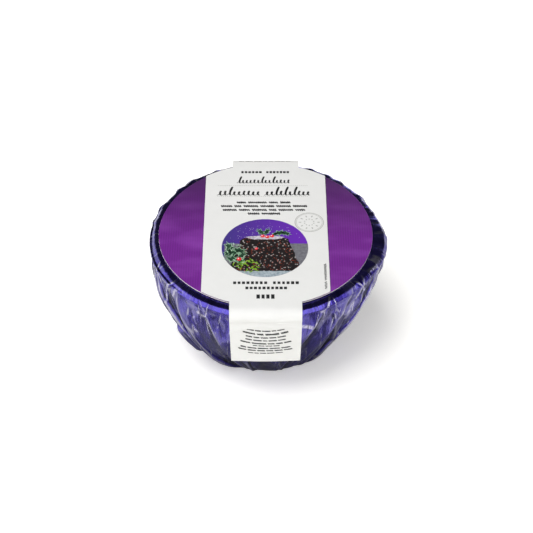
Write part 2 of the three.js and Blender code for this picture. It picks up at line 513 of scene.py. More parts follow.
@dataclass(frozen=True)
class PrintedCrumb(Finish):
    """Offset print of a dark fruited crumb: near-black, with pale glints and a few red-brown fruits."""

    dark: str = "171314"
    brown: str = "261e1e"
    pale: str = "b4adab"
    fruit: str = "a8452c"
    grain: float = 0.85  # size of a printed crumb, in mm

    def build(self) -> bpy.types.Material:
        """Makes the material."""
        material, tree, body = self.begin(Roughness=0.45, IOR=1.5)
        place = add_node(tree, "ShaderNodeTexCoord").outputs["Object"]
        cells = add_node(
            tree, "ShaderNodeTexVoronoi", {"Vector": place, "Scale": 1 / (self.grain * MM), "Randomness": 1.0}
        )
        chance = add_node(tree, "ShaderNodeSeparateColor", {0: cells.outputs["Color"]})
        middle = add_node(
            tree, "ShaderNodeMapRange", {0: cells.outputs["Distance"], 1: 0.55, 2: 0.25}, clamp=True
        ).outputs[0]
        colour = linear(self.dark)
        for channel, threshold, tone in (
            ("Red", 0.5, self.brown),
            ("Green", 0.84, self.pale),
            ("Blue", 0.82, self.fruit),
        ):
            picked = add_node(
                tree,
                "ShaderNodeMath",
                {0: chance.outputs[channel], 1: threshold},
                operation="GREATER_THAN",
            ).outputs[0]
            strength = add_node(tree, "ShaderNodeMath", {0: picked, 1: middle}, operation="MULTIPLY").outputs[0]
            colour = add_node(
                tree, "ShaderNodeMix", {0: strength, 6: colour, 7: linear(tone)}, data_type="RGBA"
            ).outputs[2]
        tree.links.new(colour, body.inputs["Base Color"])
        return material


@dataclass(frozen=True)
class StudioPaper(Finish):
    """Background paper or card of one tone, matte. Lit from behind, it glows a little of itself."""

    tone: str = "fefdf9"
    glow: float = 0.0

    def build(self) -> bpy.types.Material:
        """Makes the material."""
        material, _, _ = self.begin(
            Base_Color=linear(self.tone), Roughness=0.9, IOR=1.3,
            Emission_Color=linear(self.tone), Emission_Strength=self.glow,
        )
        return material


# ---- The film-wrapped basin ---------------------------------------------------------------------


@dataclass(frozen=True)
class BasinOutline:
    """The outline of the basin under its film, from the middle of the base to the middle of the top."""

    seat: float  # height of the film under the card
    lip_radius: float = 62.6
    base_radius: float = 34.6
    fullness: float = 1.72
    bluntness: float = 1.23
    lip_top: float = 69.5
    shoulder: float = 1.6
    lip_height: float = 5.7
    tuck: float = 0.9
    sway: float = -1.5  # how far the wall's middle height stands off the lip's middle line, along X
    seat_radius: float = 56.0

    @property
    def wall_top(self) -> float:
        """Height where the wall meets the tuck under the lip."""
        return self.lip_top - self.shoulder - self.lip_height

    def wall_radius(self, height: np.ndarray | float) -> np.ndarray:
        """Radius of the bare wall at a height over the base."""
        down = 1 - np.clip(np.asarray(height) / self.wall_top, 0, 1)
        share = (1 - down**self.fullness) ** (1 / self.bluntness)
        return mix(self.base_radius, self.lip_radius - self.tuck, share)

    def wall(self) -> np.ndarray:
        """The bare wall as rows of radius and height, closely spaced."""
        heights = self.wall_top * np.linspace(0, 1, 240) ** 2
        return np.column_stack([self.wall_radius(heights), heights])

    def lip(self) -> np.ndarray:
        """The lip as rows of radius and height: the film hangs down over it, a bead stands out along
        its edge with a slanting upper face, and from there the film runs in under the card."""
        r, z = self.lip_radius, self.lip_top
        return np.array(
            [
                (r - 0.9, self.wall_top),
                (r - 0.6, z - 5.6),
                (r - 0.6, z - 3.9),
                (r - 0.75, z - 3.5),
                (r + 0.1, z - 3.4),
                (r + 0.2, z - 3.05),
                (r - 1.8, z - 0.15),
                (r - 3.3, z + 0.2),
                (self.seat_radius + 1.2, self.seat),
                (self.seat_radius, self.seat),
            ]
        )

    def stations(self, spacing: float, lip_spacing: float) -> np.ndarray:
        """The outline at even steps.

        Args:
            spacing: The step along the wall, in mm.
            lip_spacing: The step along the lip.

        Returns:
            Rows of radius and height from the base's edge to the seat of the card.
        """
        lines = []
        for rough, step in ((self.wall(), spacing), (self.lip(), lip_spacing)):
            run = np.concatenate([[0], np.cumsum(np.hypot(*np.diff(rough, axis=0).T))])
            even = np.linspace(0, run[-1], int(run[-1] / step) + 1)
            lines.append(np.column_stack([np.interp(even, run, rough[:, 0]), np.interp(even, run, rough[:, 1])]))
        line = np.vstack([lines[0], lines[1][1:]])
        line[1:-1] = 0.25 * line[:-2] + 0.5 * line[1:-1] + 0.25 * line[2:]
        return line


@dataclass(frozen=True)
class FilmFold:
    """One fold of spare film that lies over against the wall, from low to high on the wall's run."""

    at_base: float
    at_lip: float
    low: float
    high: float
    height: float
    spread: float
    heel: float
    hand: int

    def relief(self, angle: np.ndarray, radius: np.ndarray, run: np.ndarray, length: float) -> np.ndarray:
        """How far the fold stands out.

        Args:
            angle: Angle round the basin, in radians.
            radius: Radius of the wall there.
            run: Distance up the wall.
            length: The wall's whole run.

        Returns:
            The fold's height at each point, in mm.
        """
        middle = mix(self.at_base, self.at_lip, run / length)
        away = (np.mod(angle - middle + math.pi, TURN) - math.pi) * radius * self.hand
        narrowing = radius / radius.max()
        rise = np.clip(1 + away / (self.spread * narrowing), 0, 1)
        fall = np.clip(1 - away / self.heel, 0, 1)
        fade = 7.0
        window = smooth((run - self.low) / fade) * smooth((self.high - run) / fade)
        return self.height * np.where(away < 0, rise, fall) * window


@dataclass(frozen=True)
class CreaseNet:
    """A crumple of flat facets that meet in sharp creases, without a seam round the basin."""

    across: float  # mean facet size round the basin, in mm
    along: float  # mean facet size up the wall, in mm
    depth: float
    lean: float  # how far a facet drifts round for each mm up the wall, in mm
    seed: int

    def relief(self, angle: np.ndarray, run: np.ndarray, length: float) -> np.ndarray:
        """Height of the crumple.

        Args:
            angle: Angle round the basin, in radians.
            run: Distance up the wall.
            length: The wall's whole run.

        Returns:
            The height at each point, between -depth and depth.
        """
        rng = np.random.default_rng(self.seed)
        mean_radius = 55.0
        columns = max(6, round(TURN * mean_radius / self.across))
        rows = math.ceil(length / self.along) + 3
        jitter = rng.uniform(-0.42, 0.42, (rows, columns, 2))
        heights = rng.uniform(-1, 1, (rows, columns))
        points, levels = [], []
        margin = 3
        for row in range(rows):
            for column in range(-margin, columns + margin):
                shift = jitter[row, column % columns]
                points.append(Vector((column + shift[0], row - 1 + shift[1] + 0.5 * (column % 2))))
                levels.append(heights[row, column % columns])
        plan, _, faces, *_ = delaunay_2d_cdt(points, [], [], 0, 1e-7)
        tree = BVHTree.FromPolygons([(p.x, p.y, h) for p, h in zip(plan, levels)], faces)
        down = Vector((0, 0, -1))
        drift = self.lean * run / (TURN * mean_radius)
        u = np.mod(angle / TURN + drift, 1) * columns
        v = run / self.along
        found = np.zeros(angle.size)
        for i, (a, b) in enumerate(zip(u.ravel(), v.ravel())):
            hit = tree.ray_cast(Vector((a, b, 5)), down)[0]
            found[i] = hit.z if hit else 0
        return self.depth * found.reshape(angle.shape)


@dataclass
class FilmWrap:
    """The basin's wrap: one sheet of film gathered up round the wall and drawn in over the lip."""

    outline: BasinOutline
    strap_half_width: float
    strap_end: float  # height where the straps end
    columns: int = 880
    spacing: float = 1.15
    lip_spacing: float = 0.5
    fold_count: int = 34
    seed: int = 24
    slack_angle: float = -0.12
    slack_half_width: float = 0.6
    slack_depth: float = 2.8
    nets: Sequence[CreaseNet] = (
        CreaseNet(across=9.0, along=32.0, depth=0.85, lean=0.3, seed=5),
        CreaseNet(across=4.4, along=19.0, depth=0.2, lean=-0.35, seed=6),
        CreaseNet(across=2.4, along=9.0, depth=0.06, lean=0.15, seed=7),
    )
    pressed_under_strap: float = 0.3
    # Where the film is pinched over the lip: degrees, height and width in mm.
    pinches: Sequence[tuple[float, float, float]] = (
        (202, 0.9, 2.0), (218, 1.2, 2.6), (236, 0.35, 2.5), (290, 0.6, 2.0), (321, 0.9, 2.2), (326, 1.1, 2.6),
        (345, 0.5, 2.6), (2, 0.6, 3.0),
        (17, 0.9, 3.4), (33, 1.6, 4.4), (46, 1.9, 5.0), (56, 1.6, 4.0), (64, 2.0, 4.6), (78, 1.0, 3.4),
        (104, 1.0, 3.6), (118, 1.7, 5.0), (131, 1.9, 5.4), (143, 1.8, 5.4), (155, 1.6, 4.6), (170, 1.0, 4.0),
    )
    drawn_in: float = 0.9  # how far the film lies in from the outline where no fold lifts it
    droop_angle: float = math.radians(190)  # where the film sags lowest over the lip
    droop_half_width: float = 0.85
    droop_depth: float = 1.5

    def folds(self) -> list[FilmFold]:
        """The folds: a few long ones that sweep round the wall, and the many between them."""
        rng = np.random.default_rng(self.seed)
        folds = []
        for i in range(self.fold_count):
            lip = TURN * (i + rng.uniform(-0.4, 0.4)) / self.fold_count
            low = rng.uniform(-6, 26) if rng.random() < 0.4 else -8.0
            folds.append(
                FilmFold(
                    at_base=lip + rng.normal(0, 0.24),
                    at_lip=lip,
                    low=low,
                    high=rng.uniform(66, 84),
                    height=rng.uniform(0.7, 2.3),
                    spread=rng.uniform(5, 13),
                    heel=rng.uniform(1.0, 2.1),
                    hand=1 if rng.random() < 0.62 else -1,
                )
            )
        sweeping = [
            FilmFold(math.radians(252), math.radians(203), -8, 80, 2.9, 12, 1.9, 1),
            FilmFold(math.radians(236), math.radians(221), -6, 74, 2.4, 9, 1.6, -1),
            FilmFold(math.radians(226), math.radians(204), 12, 42, 3.4, 9, 2.0, -1),
            FilmFold(math.radians(300), math.radians(336), -8, 80, 2.8, 11, 1.8, -1),
            FilmFold(math.radians(296), math.radians(312), -8, 66, 2.3, 9, 1.6, 1),
            FilmFold(math.radians(262), math.radians(258), -8, 40, 2.2, 7, 1.4, 1),
        ]
        return folds + sweeping

    def lathe(self) -> tuple[bpy.types.Object, np.ndarray]:
        """Spins the outline into the bare wrap.

        Returns:
            The piece, and the outline's stations as rows of radius and height.
        """
        stations = self.outline.stations(self.spacing, self.lip_spacing)
        base = [(r, 0.0) for r in (0.0, 11.0, 22.0)]
        cover = [(r, self.outline.seat) for r in (37.0, 18.0, 0.0)]
        chain = np.vstack([base, stations, cover])
        piece = primitive(bpy.ops.mesh.primitive_plane_add, "film_wrap", size=MM)
        bpy.ops.object.mode_set(mode="EDIT")
        bpy.ops.mesh.merge(type="CENTER")
        for (r0, z0), (r1, z1) in zip(chain[:-1], chain[1:]):
            step = ((r1 - r0) * MM, 0, (z1 - z0) * MM)
            bpy.ops.mesh.extrude_vertices_move(TRANSFORM_OT_translate={"value": step})
        bpy.ops.mesh.select_all(action="SELECT")
        bpy.ops.mesh.spin(steps=self.columns, angle=TURN, center=(0, 0, 0), axis=(0, 0, 1))
        bpy.ops.mesh.select_all(action="SELECT")
        bpy.ops.mesh.remove_doubles(threshold=0.02 * MM)
        bpy.ops.mesh.normals_make_consistent(inside=False)
        bpy.ops.object.mode_set(mode="OBJECT")
        return piece, chain

    def pressed(self, x: np.ndarray, height: np.ndarray) -> np.ndarray:
        """Share of the relief that is left beside, below and under the straps."""
        clear = (np.abs(x) - self.strap_half_width) / self.strap_half_width
        covered = smooth((height - self.strap_end + 7.0) / 5.0)
        return mix(1, mix(self.pressed_under_strap, 1, smooth(clear / 0.35)), covered)

    def slack(self, angle: np.ndarray) -> np.ndarray:
        """How far the film stands off on its slack side."""
        away = np.mod(angle - self.slack_angle + math.pi, TURN) - math.pi
        return self.slack_depth * smooth(1 - np.abs(away) / self.slack_half_width)

    def droop(self, angle: np.ndarray, chain: np.ndarray) -> np.ndarray:
        """How far the film sags over the lip's outer part where it is loose."""
        away = np.mod(angle - self.droop_angle + math.pi, TURN) - math.pi
        loose = smooth(1 - np.abs(away) / self.droop_half_width)
        outer = smooth((chain[:, :1] - 59.2) / 2.2) * smooth((chain[:, 1:] - self.outline.lip_top + 2.6) / 1.6)
        return self.droop_depth * loose * outer

    def sculpt(self, piece: bpy.types.Object, chain: np.ndarray) -> None:
        """Presses folds and creases into the bare wrap.

        Args:
            piece: The spun wrap.
            chain: Its outline, as rows of radius and height.
        """
        steps = np.diff(chain, axis=0)
        run = np.concatenate([[0], np.cumsum(np.hypot(*steps.T))]) - self.outline.base_radius
        angle = np.linspace(0, TURN, self.columns, endpoint=False)
        grid_angle, grid_run = np.meshgrid(angle, run)
        grid_radius = np.repeat(chain[:, :1], self.columns, axis=1)
        rise = chain[:, 1:] / self.outline.lip_top
        wall_length = run[np.searchsorted(chain[:, 1], self.outline.wall_top)]
        lip_length = run[np.argmax(chain[:, 1] >= self.outline.lip_top - 0.01)]
        tangent = np.gradient(chain, axis=0)
        tangent /= np.maximum(np.hypot(*tangent.T), 1e-9)[:, None]
        normal_out, normal_up = tangent[:, 1:], -tangent[:, :1]

        live = np.flatnonzero((run > -1) & (run < lip_length + 6))
        part = (grid_angle[live], grid_run[live])
        folds = np.zeros(part[0].shape)
        for fold in self.folds():
            folds = np.maximum(folds, fold.relief(part[0], grid_radius[live], part[1], wall_length))
        creases = sum(net.relief(part[0], part[1], lip_length + 8) for net in self.nets)

        over_lip = np.zeros(part[0].shape)
        for i, (place, height, spread) in enumerate(self.pinches):
            at, hand = math.radians(place), 1 if i % 2 else -1
            low, high = wall_length - 7, lip_length + 3
            pinch = FilmFold(at - 0.7 * hand, at, low, high, height, spread, 0.6 * spread, hand)
            over_lip = np.maximum(over_lip, pinch.relief(part[0], grid_radius[live], part[1], lip_length))

        relief = np.zeros(grid_angle.shape)
        grow = smooth(part[1] / 14)
        # The folds run out under the lip; the creases also cross its bead, more faintly.
        drawn = smooth((wall_length - part[1] + 1) / 10)
        over = smooth((lip_length + 3 - part[1]) / 4)
        lift = folds * mix(0.14, 1, drawn) + creases * mix(0.3, 1, drawn) * over - self.drawn_in * drawn
        lift += 0.7 * over_lip
        relief[live] = grow * lift * self.pressed(grid_radius[live] * np.cos(part[0]), chain[live, 1:])
        relief = self.eased(relief)

        loose = smooth(rise) * self.slack(grid_angle) * smooth((lip_length + 5 - grid_run) / 6)
        out = grid_radius + relief * normal_out + loose
        height = np.maximum(chain[:, 1:] + relief * normal_up, 0) - self.droop(grid_angle, chain)
        sway = self.outline.sway * np.sin(math.pi * np.clip(chain[:, 1] / self.outline.wall_top, 0, 1))

        points = read_points(piece)
        radius = np.hypot(points[:, 0], points[:, 1])
        row = np.argmin(
            np.abs(radius[:, None] - chain[:, 0]) + np.abs(points[:, 2][:, None] - chain[:, 1]), axis=1
        )
        column = np.rint(np.arctan2(points[:, 1], points[:, 0]) / TURN * self.columns).astype(int) % self.columns
        a = angle[column]
        r = out[row, column]
        write_points(piece, np.column_stack([sway[row] + r * np.cos(a), r * np.sin(a), height[row, column]]))
        gathered = np.zeros(relief.shape)
        gathered[live] = grow * folds * drawn
        gathered = self.eased(gathered)
        # crest places the pale lines and the painted shade of the hollows; swell places the painted grey reflection and
        # shade of the panels.
        crest = self.standing(gathered, 2, 0.17) + 0.75 * self.standing(relief - gathered, 2, 0.06)
        write_attribute(piece, "crest", crest[row, column])
        write_attribute(piece, "swell", self.standing(relief, 15, 0.9)[row, column])
        stretch = 5.0  # streaks run this much further up the wall than round it
        around = self.outline.lip_radius
        flow = np.column_stack([around * np.cos(a), around * np.sin(a), run[row] / stretch])
        write_attribute(piece, "flow", flow * MM)

    @staticmethod
    def eased(relief: np.ndarray) -> np.ndarray:
        """The relief with its steps softened, so that a slanting crease runs clean across the grid."""
        for axis in (0, 1):
            relief = 0.5 * relief + 0.25 * (np.roll(relief, 1, axis) + np.roll(relief, -1, axis))
        return relief

    @staticmethod
    def standing(relief: np.ndarray, reach: int, full: float) -> np.ndarray:
        """How far each point stands over the mean of its surroundings.

        Args:
            relief: Relief of the wrap, a row for each ring.
            reach: How many columns away the surroundings reach.
            full: The height, in mm, that counts as 1.

        Returns:
            The height between -1 and 1.
        """
        mean = sum(np.roll(relief, shift, axis=1) for shift in range(-reach, reach + 1)) / (2 * reach + 1)
        return np.clip((relief - mean) / full, -1, 1)

    def build(self) -> bpy.types.Object:
        """Makes and dresses the wrap."""
        piece, chain = self.lathe()
        self.sculpt(piece, chain)
        piece.data.materials.append(MetallisedFilm("Metallised_polypropylene_film").build())
        deselect()
        piece.select_set(True)
        bpy.context.view_layer.objects.active = piece
        bpy.ops.object.shade_smooth()
        return piece


# ---- The round card -----------------------------------------------------------------------------


@dataclass
class RoundCard:
    """The die-cut card that closes the pack: printed on top, bare at its cut edge."""

    radius: float
    under: float  # height of its lower face
    over: float  # height of its upper face
    edge_round: float = 0.12

    def build(self) -> bpy.types.Object:
        """Makes and dresses the card."""
        piece = primitive(
            bpy.ops.mesh.primitive_circle_add,
            "round_card_printed",
            vertices=256,
            radius=self.radius * MM,
            fill_type="NGON",
            location=(0, 0, self.under * MM),
        )
        bpy.ops.object.mode_set(mode="EDIT")
        bpy.ops.mesh.select_all(action="SELECT")
        thickness = (self.over - self.under) * MM
        bpy.ops.mesh.extrude_region_move(TRANSFORM_OT_translate={"value": (0, 0, thickness)})
        bpy.ops.mesh.inset(thickness=2 * MM)
        bpy.ops.mesh.select_all(action="SELECT")
        bpy.ops.mesh.normals_make_consistent(inside=False)
        bpy.ops.object.mode_set(mode="OBJECT")
        settle(piece)
        finish_with(piece, "BEVEL", width=self.edge_round * MM, segments=2, angle_limit=math.radians(60))
        piece.data.materials.append(CoatedBoard("Varnished_solid_bleached_board").build())
        piece.data.materials.append(Pulp("Cut_board_edge", light="e9e4ea", dark="cfc6d4").build())
        for face in piece.data.polygons:
            face.material_index = 0 if abs(face.normal.z) > 0.5 else 1
        return piece


# ---- The paper band -----------------------------------------------------------------------------


@dataclass
class PaperBand:
    """The label: a wide panel on the card, with a strap bent down over the lip at the front and the back.

    A place on it is given flat, in mm: x across it, and y along it from the card's middle, with the
    front strap at negative y.
    """

    outline: BasinOutline
    card_radius: float
    top: float  # height of its upper face
    panel_half_width: float
    reach: float  # how far out the straps stand
    end_height: float
    strap_half_width: float = 18.6
    strap_taper: float = 0.4
    cad_thickness: float = 0.4
    thickness: float = 0.26
    bend_radius: float = 4.8
    wall_clearance: float = 1.32
    wrap: float = 0.08
    path: np.ndarray = field(init=False)

    def __post_init__(self) -> None:
        """Works out the band's middle line as rows of distance, out, height and wrap."""
        level = self.top - self.cad_thickness
        outermost = self.reach - self.cad_thickness
        middle = outermost - self.bend_radius
        turn = np.linspace(0, math.pi / 2, 24)
        bend = np.column_stack(
            [
                middle + self.bend_radius * np.sin(turn),
                level - self.bend_radius * (1 - np.cos(turn)),
                self.wrap * 0.5 * smooth(turn / turn[-1]),
            ]
        )
        share = np.linspace(0, 1, 60)[1:]
        height = mix(level - self.bend_radius, self.end_height, share)
        out = np.minimum(outermost, self.outline.wall_radius(height) + self.wall_clearance)
        fall = np.column_stack([out, height, self.wrap * mix(0.5, 1, share)])
        line = np.vstack([[(0, level, 0)], bend, fall])
        run = np.concatenate([[0], np.cumsum(np.hypot(*np.diff(line[:, :2], axis=0).T))])
        self.path = np.column_stack([run, line])

    @property
    def length(self) -> float:
        """Distance from the card's middle to a strap's end."""
        return float(self.path[-1, 0])

    def half_width(self, y: np.ndarray) -> np.ndarray:
        """Half the band's width at a distance along it."""
        away = np.abs(y)
        round_cut = np.sqrt(np.maximum(self.card_radius**2 - away**2, 0))
        strap_start = math.sqrt(self.card_radius**2 - self.strap_half_width**2)
        taper = self.strap_taper * smooth((away - strap_start) / (self.length - strap_start))
        return np.where(
            away < strap_start, np.minimum(self.panel_half_width, round_cut), self.strap_half_width - taper
        )

    def creases(self, x: np.ndarray, y: np.ndarray) -> np.ndarray:
        """Relief of the straps: a few shallow dents where the paper gave way to the lip and the hands."""
        strap = smooth((np.abs(y) - 62) / 8)
        bulge = 0.22 * np.sin(x / 6.1 + 1.0) * np.cos(y / 9.5) + 0.15 * np.sin((x + 1.7 * y) / 7.7)
        relief = strap * (bulge + 0.3)
        for place_x, place_y, slope, size, height in (
            (-11.0, -71.5, 0.28, 1.1, 0.5),
            (3.0, -70.5, -0.12, 1.6, 0.32),
            (12.0, -70.0, -0.35, 1.4, 0.3),
            (6.0, 74.0, 0.3, 1.5, 0.35),
            (-9.0, 82.0, -0.25, 1.8, 0.3),
        ):
            across = (y - place_y) - slope * (x - place_x)
            relief += height * np.exp(-((across / size) ** 2) - ((x - place_x) / 8.5) ** 2)
        return relief * smooth((np.abs(y) - 58) / 6)

    def point(self, x: np.ndarray, y: np.ndarray, lift: float) -> np.ndarray:
        """Places flat points on the bent band.

        Args:
            x: Distances across.
            y: Distances along.
            lift: Height over the band's upper face.

        Returns:
            Rows of x, y and z in the part's frame, in mm.
        """
        x, y = np.asarray(x, float), np.asarray(y, float)
        run = np.abs(y)
        out, height, wrap = (np.interp(run, self.path[:, 0], self.path[:, k]) for k in (1, 2, 3))
        ahead, behind = run + 0.4, np.maximum(run - 0.4, 0)
        tangent_out = np.interp(ahead, self.path[:, 0], self.path[:, 1])
        tangent_out -= np.interp(behind, self.path[:, 0], self.path[:, 1])
        tangent_up = np.interp(ahead, self.path[:, 0], self.path[:, 2])
        tangent_up -= np.interp(behind, self.path[:, 0], self.path[:, 2])
        size = np.hypot(tangent_out, tangent_up)
        rise = self.cad_thickness + lift + self.creases(x, y)
        fall_back = out - np.sqrt(np.maximum(out**2 - x**2, 0))
        far = out - wrap * fall_back - rise * tangent_up / size
        return np.column_stack([x, np.sign(y) * far, height + rise * tangent_out / size])

    def build(self) -> bpy.types.Object:
        """Makes and dresses the band."""
        across, rows = 44, self.rows()
        piece = primitive(
            bpy.ops.mesh.primitive_grid_add,
            "paper_band_label",
            x_subdivisions=across,
            y_subdivisions=len(rows) - 1,
            size=2.0,
        )
        flat = read_points(piece) * MM
        row = np.rint((flat[:, 1] + 1) / 2 * (len(rows) - 1)).astype(int)
        y = rows[row]
        x = flat[:, 0] * self.half_width(y)
        # The straps were cut a little unevenly at their ends.
        uneven = 0.3 * np.sin(x / 5.5 + 0.8)
        y = y + np.sign(y) * uneven * smooth((np.abs(y) - 80) / (self.length - 80))
        write_points(piece, self.point(x, y, 0))
        piece.data.materials.append(Pulp("Coated_label_paper").build())
        finish_with(piece, "SOLIDIFY", thickness=self.thickness * MM, offset=-1, use_even_offset=True)
        bpy.ops.object.shade_smooth_by_angle(angle=math.radians(35))
        return piece

    def rows(self) -> np.ndarray:
        """Distances of the mesh's rows along the band, from the front strap's end to the back one's."""
        panel = math.sqrt(self.card_radius**2 - self.panel_half_width**2)
        strap = math.sqrt(self.card_radius**2 - self.strap_half_width**2)
        half = np.concatenate(
            [
                np.linspace(0, panel, 40, endpoint=False),
                np.linspace(panel, strap, 14, endpoint=False),
                np.linspace(strap, self.length, 64),
            ]
        )
        return np.concatenate([-half[:0:-1], half])


# ---- The print ----------------------------------------------------------------------------------


class Row(Enum):
    """The kinds of printed row. None of them holds letters, only plain marks."""

    BLOCKS = "separate upright blocks"
    FLOURISH = "one looping pen stroke a word"
    SCRIBBLE = "a fine wavering stroke a word"
    DOTS = "a dotted rule"


@dataclass(frozen=True)
class PrintedRow:
    """One row of print on the band, in flat millimetres."""

    kind: Row
    y: float
    left: float
    right: float
    height: float
    ink: Ink = Ink.BLACK
    weight: float = 1.0


@dataclass
class Press:
    """Prints marks on the band: each is a strip or a disc laid on the paper."""

    band: PaperBand
    lift: float = 0.03
    layer: float = 0.02
    inks: dict[Any, bpy.types.Material] = field(default_factory=dict)
    marks: list[bpy.types.Object] = field(default_factory=list)

    def material(self, ink: Any) -> bpy.types.Material:
        """The ink's material, mixed once."""
        if ink not in self.inks:
            finish = ink if isinstance(ink, Finish) else OffsetInk(f"Offset_ink_{ink.name.lower()}", ink)
            self.inks[ink] = finish.build()
        return self.inks[ink]

    def lay(self, mark: bpy.types.Object, x: np.ndarray, y: np.ndarray, layer: int, ink: Any) -> None:
        """Lays a flat mark on the paper.

        Args:
            mark: The mark.
            x: Its points' distances across the band.
            y: Their distances along the band.
            layer: How many inks lie under it.
            ink: What it is printed with.
        """
        write_points(mark, self.band.point(x, y, self.lift + layer * self.layer))
        mark.data.materials.append(self.material(ink))
        self.marks.append(mark)

    def strip(self, line: np.ndarray, width: np.ndarray | float, ink: Any, layer: int = 0) -> None:
        """Prints a strip along a line.

        Args:
            line: Rows of x and y.
            width: The strip's width, for each row or all.
            ink: What it is printed with.
            layer: How many inks lie under it.
        """
        count = len(line)
        mark = primitive(
            bpy.ops.mesh.primitive_grid_add, "strip", x_subdivisions=count - 1, y_subdivisions=1, size=2.0
        )
        flat = read_points(mark) * MM
        place = np.rint((flat[:, 0] + 1) / 2 * (count - 1)).astype(int)
        tangent = np.gradient(line, axis=0)
        tangent /= np.maximum(np.hypot(*tangent.T), 1e-9)[:, None]
        half = 0.5 * np.broadcast_to(width, (count,))
        side = np.sign(flat[:, 1]) * half[place]
        x = line[place, 0] - side * tangent[place, 1]
        y = line[place, 1] + side * tangent[place, 0]
        self.lay(mark, x, y, layer, ink)

    def patch(self, edges: Callable[[np.ndarray], tuple[np.ndarray, np.ndarray]], low: float, high: float,
              ink: Any, layer: int = 0, rows: int = 24) -> None:
        """Prints an area between a left and a right edge.

        Args:
            edges: Gives the left and right x at an array of y.
            low: The area's lowest y.
            high: Its highest y.
            ink: What it is printed with.
            layer: How many inks lie under it.
            rows: How many strips it is made of.
        """
        mark = primitive(bpy.ops.mesh.primitive_grid_add, "patch", x_subdivisions=8, y_subdivisions=rows, size=2.0)
        flat = read_points(mark) * MM
        y = mix(low, high, (flat[:, 1] + 1) / 2)
        left, right = edges(y)
        self.lay(mark, mix(left, right, (flat[:, 0] + 1) / 2), y, layer, ink)

    def disc(self, middle: tuple[float, float], reach: Callable[[np.ndarray], np.ndarray] | float, ink: Any,
             layer: int = 0, turn: float = 0.0, squeeze: float = 1.0, points: int = 32) -> None:
        """Prints a disc, or another shape given by its reach at each angle.

        Args:
            middle: The shape's middle.
            reach: Its radius, or its radius as a function of the angle.
            ink: What it is printed with.
            layer: How many inks lie under it.
            turn: How far it is turned, in radians.
            squeeze: Its height as a share of its length.
            points: How many corners its outline has.
        """
        mark = primitive(bpy.ops.mesh.primitive_circle_add, "disc", vertices=points, radius=1, fill_type="TRIFAN")
        flat = read_points(mark) * MM
        angle = np.arctan2(flat[:, 1], flat[:, 0])
        size = np.hypot(flat[:, 0], flat[:, 1]) * (reach(angle) if callable(reach) else reach)
        u, v = size * np.cos(angle), size * np.sin(angle) * squeeze
        x = middle[0] + u * math.cos(turn) - v * math.sin(turn)
        y = middle[1] + u * math.sin(turn) + v * math.cos(turn)
        self.lay(mark, x, y, layer, ink)

    def ring(self, middle: tuple[float, float], radius: float, width: float, ink: Any, layer: int = 0) -> None:
        """Prints a thin ring round a middle point."""
        angle = np.linspace(0, TURN, 65)
        line = np.column_stack([middle[0] + radius * np.cos(angle), middle[1] + radius * np.sin(angle)])
        self.strip(line, width, ink, layer)

    def pull(self, name: str) -> bpy.types.Object:
        """Joins all marks laid so far into one piece and starts a new sheet."""
        piece = join(self.marks, name)
        settle(piece)
        self.marks = []
        return piece


